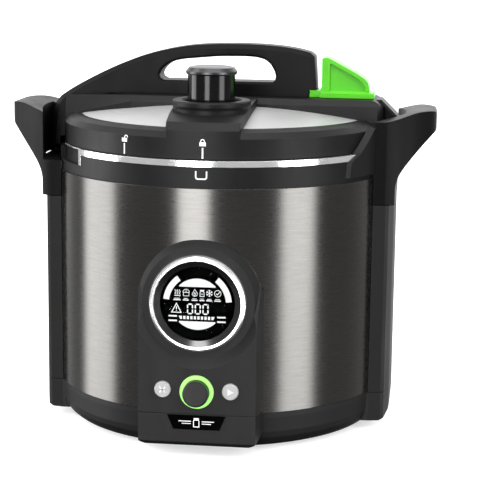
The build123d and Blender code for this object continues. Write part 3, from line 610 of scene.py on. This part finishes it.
def tick(name, az, z0, z1, w=1.35):
    polys = []
    n = 4
    for i in range(n):
        a, b = z0 + (z1 - z0) * i / n, z0 + (z1 - z0) * (i + 1) / n
        polys.append([(-w / 2, a), (w / 2, a), (w / 2, b), (-w / 2, b)])
    return flat_piece(name, polys, 0, 0.12, WHITE_INK, "lid", frame_map=wrap(R_LID, az))


tick("tick_locked", 0.3, 285.6, 295.6)
tick("tick_open", -28.1, 285.6, 295.6)


def padlock(name, az, z, opened):
    s = 1.0
    quads = []
    body = [(-3.0, -2.2), (3.0, -2.2), (3.0, 1.4), (-3.0, 1.4)]
    polys = [body]
    lift = 1.4
    if opened:
        shackle = [(-2.0 + 3.4, lift), (-2.0 + 3.4, lift + 1.0)] + arc(-0.4 + 3.4, lift + 1.0, 1.6, 180, 0, 8)[1:] + [(1.2 + 3.4, lift + 0.6)]
        shackle = [(p[0] - 0.9, p[1]) for p in shackle]
    else:
        shackle = [(-1.7, lift)] + [(-1.7, lift + 0.9)] + arc(0, lift + 0.9, 1.7, 180, 0, 8)[1:] + [(1.7, lift)]
    polys += stroke(shackle, 0.8)
    polys = [[(p[0] * s, z + p[1] * s) for p in q] for q in polys]
    return flat_piece(name, polys, 0, 0.12, WHITE_INK, "lid", frame_map=wrap(R_LID, az))


padlock("padlock_closed", 0.3, 299.4, False)
padlock("padlock_open", -28.1, 299.4, True)


def guide_mark():
    """The square cup on the collar that the lid's lines are set against."""
    w, top, bot, rr = 5.1, 274.3, 266.9, 2.0
    pts = [(-w, top), (-w, bot + rr)] + arc(-w + rr, bot + rr, rr, 180, 270, 5)[1:] + arc(w - rr, bot + rr, rr, 270, 360, 5) + [(w, top)]
    return flat_piece("guide_mark", stroke(pts, 1.25), 0, 0.12, WHITE_INK, "base", frame_map=wrap(R_COLLAR, 0.12))


guide_mark()

# ---------------------------------------------------------------- display graphics
LCD_Y = -180.02
LCD_CZ = 150.3


def lcd(name, polys):
    return flat_piece(name, polys, LCD_Y, 0.08, LCD_WHITE, "base", cx=-0.7, cz=LCD_CZ)


def shift(polys, dx, dy, s=1.0):
    return [[(p[0] * s + dx, p[1] * s + dy) for p in q] for q in polys]


def chamfer_quad(x0, x1, y0, y1):
    return [[(x0, y0), (x1, y0), (x1, y1), (x0, y1)]]


def seg_zero(w, h, t):
    """Seven-segment nought with small gaps at its corners."""
    out = []
    g = t * 0.28
    for sy in (0, 1):
        y = t / 2 if sy == 0 else h - t / 2
        out.append([(t / 2 + g, y), (t + g, y - t / 2), (w - t - g, y - t / 2), (w - t / 2 - g, y), (w - t - g, y + t / 2), (t + g, y + t / 2)])
    for x in (t / 2, w - t / 2):
        for y0, y1 in ((t / 2, h / 2), (h / 2, h - t / 2)):
            out.append([(x, y0 + g), (x + t / 2, y0 + t / 2 + g), (x + t / 2, y1 - t / 2 - g), (x, y1 - g), (x - t / 2, y1 - t / 2 - g), (x - t / 2, y0 + t / 2 + g)])
    return out


def cap_segment(r, h, half, sign, n=24):
    a = math.degrees(math.acos(min(1.0, half / r)))
    pts = [(p[0], p[1] * sign) for p in arc(0, 0, r, a, 180 - a, n)]
    pts = [p for p in pts]
    pts = [(half, h * sign)] + pts + [(-half, h * sign)]
    return [pts]


lcd("lcd_arc_left", ring_sector(27.0, 32.6, 126.0, 173.0))
lcd("lcd_arc_right", ring_sector(27.2, 32.8, 5.0, 52.0))
lcd("lcd_cap_top", cap_segment(24.3, 16.2, 17.2, 1))
lcd("lcd_cap_bottom", cap_segment(25.0, 17.0, 17.2, -1))
lcd("lcd_digits", sum((shift(seg_zero(5.9, 10.4, 1.25), -9.8 + i * 7.35, -10.2) for i in range(3)), []))

tri = [(-4.5, -4.3), (4.5, -4.3), (0.0, 4.2)]
lcd("lcd_warning", shift(stroke(tri, 0.8, closed=True) + chamfer_quad(-0.42, 0.42, -1.3, 1.4) + [circle(0, -2.5, 0.5, 10)], -19.8, -4.4))

bar = []
for i in range(10):
    x0 = -16.6 + i * 3.35
    flare = 0.7 if i in (0, 9) else 0.0
    l = 0.9 if i == 0 else 0.0
    r = 0.9 if i == 9 else 0.0
    bar.append([(x0 + l * 0.4, -15.0), (x0 + 2.15 - r * 0.4, -15.0), (x0 + 2.15 + r, -12.0), (x0 - l, -12.0)])
lcd("lcd_blocks", bar)

labels = []
for x, w in ((-19.3, 7.0), (-10.9, 5.4), (-2.6, 5.6), (4.4, 4.8), (11.3, 5.6), (19.2, 6.2)):
    labels += chamfer_quad(x - w / 2, x + w / 2, 2.9, 3.9)
    labels += chamfer_quad(x - w / 2 + 0.8, x + w / 2 - 0.8, 4.5, 5.1)
for x in (-23.3, 23.0):
    for y in (-12.3, -16.7):
        labels += chamfer_quad(x - 4.0, x + 4.0, y - 0.75, y + 0.75)
lcd("lcd_label_bars", labels)

icons = []
wave = [[(x + 0.55 * math.sin(y * 2.1), y) for y in [(-2.0 + 0.4 * k) for k in range(13)]] for x in (-1.8, 0.2, 2.2)]
heat = []
for w_ in wave:
    heat += stroke(w_, 0.54)
heat += chamfer_quad(-2.9, 2.9, -3.3, -2.6)
icons += shift(heat, -18.9, 10.5)
pot = stroke([(-2.6, 0.2), (-2.6, -2.9), (2.6, -2.9), (2.6, 0.2)], 0.54) + stroke(arc(0, 0.3, 3.1, 10, 170, 12), 0.54) + stroke([(-3.3, 0.4), (3.3, 0.4)], 0.54) + stroke([(0, 1.0), (0, 2.4)], 0.6)
icons += shift(pot, -10.6, 10.3)
flame = [(0.0, 3.3), (1.2, 1.5), (2.4, -0.2), (2.4, -1.7), (1.3, -3.0), (0, -3.3), (-1.3, -3.0), (-2.4, -1.7), (-2.3, -0.4), (-1.3, 0.8), (-0.9, 1.9)]
inner = [(0.0, 0.4), (0.9, -1.0), (0.8, -2.0), (0, -2.4), (-0.8, -2.0), (-0.9, -1.0)]
icons += shift(stroke(flame, 0.54, closed=True) + stroke(inner, 0.5, closed=True), -2.4, 10.5)
jar = stroke([(-1.9, -3.1), (1.9, -3.1), (1.9, 0.9), (1.3, 1.7), (-1.3, 1.7), (-1.9, 0.9)], 0.6, closed=True) + chamfer_quad(-1.9, 1.9, 2.2, 3.2) + stroke([(-1.0, -0.8), (1.0, -0.8)], 0.5)
icons += shift(jar, 4.5, 10.4)
flake = []
for k in range(3):
    a = math.radians(30 + 60 * k)
    d = (math.cos(a), math.sin(a))
    flake += stroke([(-3.2 * d[0], -3.2 * d[1]), (3.2 * d[0], 3.2 * d[1])], 0.6)
    for sgn in (-1, 1):
        cx, cy = 2.1 * d[0] * sgn, 2.1 * d[1] * sgn
        for turn in (-55, 55):
            b_ = a + math.radians(turn) + (math.pi if sgn < 0 else 0)
            flake += stroke([(cx, cy), (cx + 1.2 * math.cos(b_), cy + 1.2 * math.sin(b_))], 0.5)
icons += shift(flake, 11.4, 10.5)
icons += shift(stroke(circle(0, 0, 3.1, 22), 0.54, closed=True) + stroke([(-1.5, 0.0), (-0.4, -1.2), (1.7, 1.3)], 0.7), 19.3, 10.5)
lcd("lcd_icons", icons)

# ---------------------------------------------------------------- button symbols and plate mark
cross = stroke([(-2.9, -2.9), (2.9, 2.9)], 1.5) + stroke([(-2.9, 2.9), (2.9, -2.9)], 1.5)
flat_piece("cancel_symbol", cross, -188.9, 0.14, BUTTON_INK, "cancel", cx=-32.3, cz=68.0)
play = [[(-2.6, -3.4), (3.7, 0.0), (-2.6, 3.4)]]
flat_piece("start_symbol", play, -188.9, 0.14, BUTTON_INK, "start", cx=32.3, cz=68.0)

jar_mark = stroke([(-2.6, -4.4), (2.6, -4.4), (2.6, 1.4), (1.9, 2.3), (-1.9, 2.3), (-2.6, 1.4)], 0.7, closed=True) + chamfer_quad(-2.5, 2.5, 2.9, 4.2)
rules = chamfer_quad(-17.0, -5.2, 0.6, 1.3) + chamfer_quad(5.2, 17.0, 0.6, 1.3) + chamfer_quad(-14.0, -5.2, -1.6, -1.0) + chamfer_quad(5.2, 14.0, -1.6, -1.0)
flat_piece("plate_mark", jar_mark + rules, -186.8, 0.10, WHITE_INK, "base", cx=0.0, cz=36.6)


# ---------------------------------------------------------------- floor and light
def floor():
    n, radius = 96, 14.0
    verts = [(0.0, 0.0, 0.0)]
    rings = [0.5, 1.2, 3.0, 7.0, radius]
    for r in rings:
        for i in range(n):
            a = 2 * math.pi * i / n
            verts.append((r * math.cos(a), r * math.sin(a), 0.0))
    faces = [[0, 1 + i, 1 + (i + 1) % n] for i in range(n)]
    for k in range(len(rings) - 1):
        for i in range(n):
            a, b = 1 + k * n + i, 1 + k * n + (i + 1) % n
            faces.append([a, a + n, b + n, b])
    me = bpy.data.meshes.new("studio_floor")
    me.from_pydata(verts, [], faces)
    obj = link(bpy.data.objects.new("studio_floor", me))
    m = bpy.data.materials.new("floor_white")
    m.use_nodes = True
    t = Tree(m.node_tree)
    for x in list(t.n):
        t.n.remove(x)
    out = t.new("ShaderNodeOutputMaterial")
    b = t.new("ShaderNodeBsdfPrincipled")
    obj_co = t.new("ShaderNodeTexCoord").outputs["Object"]
    grain = t.noise(obj_co, 40.0, 3.0, 0.5)
    t.put(t.mix(grain, grey(0.60), grey(0.63)), b.inputs["Base Color"])
    b.inputs["Roughness"].default_value = 0.85
    b.inputs["Specular IOR Level"].default_value = 0.05
    b.inputs["Emission Color"].default_value = (1.0, 1.0, 1.0, 1.0)
    b.inputs["Emission Strength"].default_value = 0.55
    soft = t.new("ShaderNodeBsdfDiffuse")
    soft.inputs["Color"].default_value = grey(0.16)
    clear = t.new("ShaderNodeBsdfTransparent")
    lp = t.new("ShaderNodeLightPath")
    below = t.new("ShaderNodeMixShader")
    t.put(lp.outputs["Is Glossy Ray"], below.inputs[0])
    t.l.new(soft.outputs[0], below.inputs[1])
    t.l.new(clear.outputs[0], below.inputs[2])
    mixer = t.new("ShaderNodeMixShader")
    t.put(lp.outputs["Is Camera Ray"], mixer.inputs[0])
    t.l.new(below.outputs[0], mixer.inputs[1])
    t.l.new(b.outputs[0], mixer.inputs[2])
    t.l.new(mixer.outputs[0], out.inputs[0])
    me.materials.append(m)
    return obj


floor()

world = bpy.data.worlds.new("studio")
scene.world = world
world.use_nodes = True
t = Tree(world.node_tree)
for x in list(t.n):
    t.n.remove(x)
out = t.new("ShaderNodeOutputWorld")
direction = t.new("ShaderNodeTexCoord").outputs["Generated"]
dx, dy, dz = t.xyz(direction)
flat = t.math("SQRT", t.math("ADD", t.math("MULTIPLY", dx, dx), t.math("ADD", t.math("MULTIPLY", dy, dy), 1e-6)))


def strip(az, inner, outer, level, lo0=-0.6, lo1=-0.3, hi0=0.70, hi1=0.85):
    """A tall softbox standing at azimuth az from the front, its half width in degrees from inner (full) to outer (dark)."""
    a = math.radians(az)
    d = t.math("DIVIDE", t.math("ADD", t.math("MULTIPLY", dx, math.sin(a)), t.math("MULTIPLY", dy, -math.cos(a))), flat)
    k = t.remap(d, math.cos(math.radians(outer)), math.cos(math.radians(inner)), 0.0, level, smooth=True)
    up = t.remap(dz, lo0, lo1, 0.0, 1.0, smooth=True)
    down = t.remap(dz, hi0, hi1, 1.0, 0.0, smooth=True)
    return t.math("MULTIPLY", k, t.math("MULTIPLY", up, down))


total = t.math("ADD", t.remap(dz, 0.45, 0.95, 0.0, 1.2, smooth=True), t.remap(dz, -0.7, -0.38, 0.03, 0.37, smooth=True))
for s in (
    strip(-88.0, 11, 18, 7.6, -0.5, -0.3),
    strip(-13.2, 8.5, 12, 11.0, -0.5, -0.3),
    strip(59.5, 8, 15.5, 8.8, -0.5, -0.3),
    strip(160, 15, 40, 0.9),
    strip(-160, 15, 40, 0.5),
):
    total = t.math("ADD", total, s)
back = strip(180, 30, 80, 1.1, -0.2, 0.0, 0.35, 0.75)
total = t.math("ADD", total, back)
studio = t.new("ShaderNodeBackground")
studio.inputs["Color"].default_value = (1.0, 1.0, 1.0, 1.0)
t.put(total, studio.inputs["Strength"])
white = t.new("ShaderNodeBackground")
white.inputs["Color"].default_value = (1.0, 1.0, 1.0, 1.0)
white.inputs["Strength"].default_value = 1.0
lp = t.new("ShaderNodeLightPath")
mixer = t.new("ShaderNodeMixShader")
t.put(lp.outputs["Is Camera Ray"], mixer.inputs[0])
t.l.new(studio.outputs[0], mixer.inputs[1])
t.l.new(white.outputs[0], mixer.inputs[2])
t.l.new(mixer.outputs[0], out.inputs[0])


def softbox(name, pos, target, size, power):
    li = bpy.data.lights.new(name, "AREA")
    li.shape = "RECTANGLE"
    li.size, li.size_y = size
    li.energy = power
    ob = link(bpy.data.objects.new(name, li))
    ob.location = pos
    d = Vector(target) - Vector(pos)
    ob.rotation_mode = "QUATERNION"
    ob.rotation_quaternion = d.to_track_quat("-Z", "Y")
    ob.visible_camera = False
    return ob


softbox("softbox_top", (0.1, -0.3, 1.9), (0.0, 0.0, 0.2), (1.3, 1.0), 13.0)
